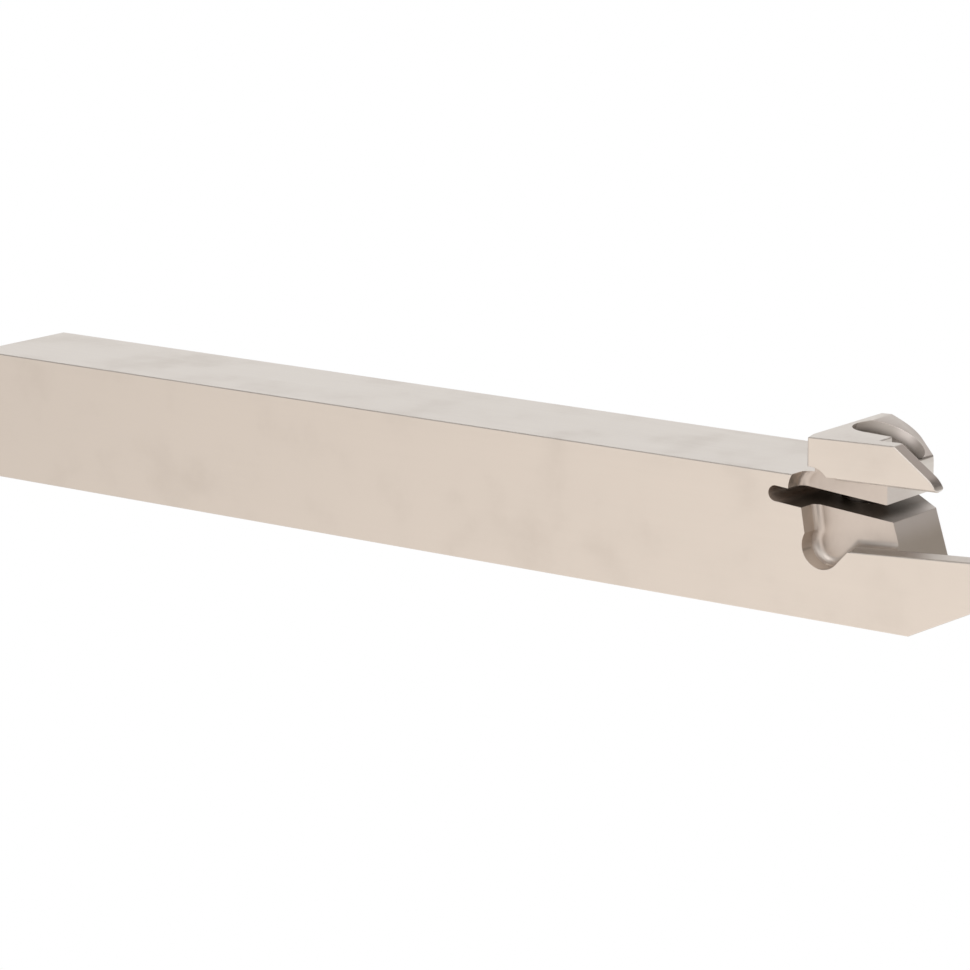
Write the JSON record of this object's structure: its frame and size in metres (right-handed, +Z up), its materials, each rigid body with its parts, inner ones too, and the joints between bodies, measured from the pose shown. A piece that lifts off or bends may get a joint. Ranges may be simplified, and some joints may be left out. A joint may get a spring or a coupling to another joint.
{
  "type": "parting blade holder",
  "caption": "Square-shank lathe holder whose head is cut down to a thin two-jawed blade with a V-railed insert pocket, a slot and a recessed clamp screw.",
  "frame": {"origin": "middle of the footprint (length and width of the whole bar), on the sole", "axes": "+X along the shank to the cutting end, +Z up from the sole, -Y out of the blade's face"},
  "size_m": [0.1194, 0.0126, 0.0165],
  "materials": {
    "satin_steel": "satin nickel-plated tool steel, ground shank faces and milled head",
    "dark_screw_steel": "black-oxided steel"
  },
  "bodies": {
    "holder": {"holder_body": "satin_steel"},
    "screw": {"clamp_screw": "dark_screw_steel"}
  },
  "joints": [
    {"name": "clamp_screw_turn", "type": "hinge", "parent": "holder", "child": "screw", "pos_m": [0.04232, 0.00127, 0.0128], "axis": [0.3907, 0, 0.9205], "range_deg": [0, 360]}
  ]
}
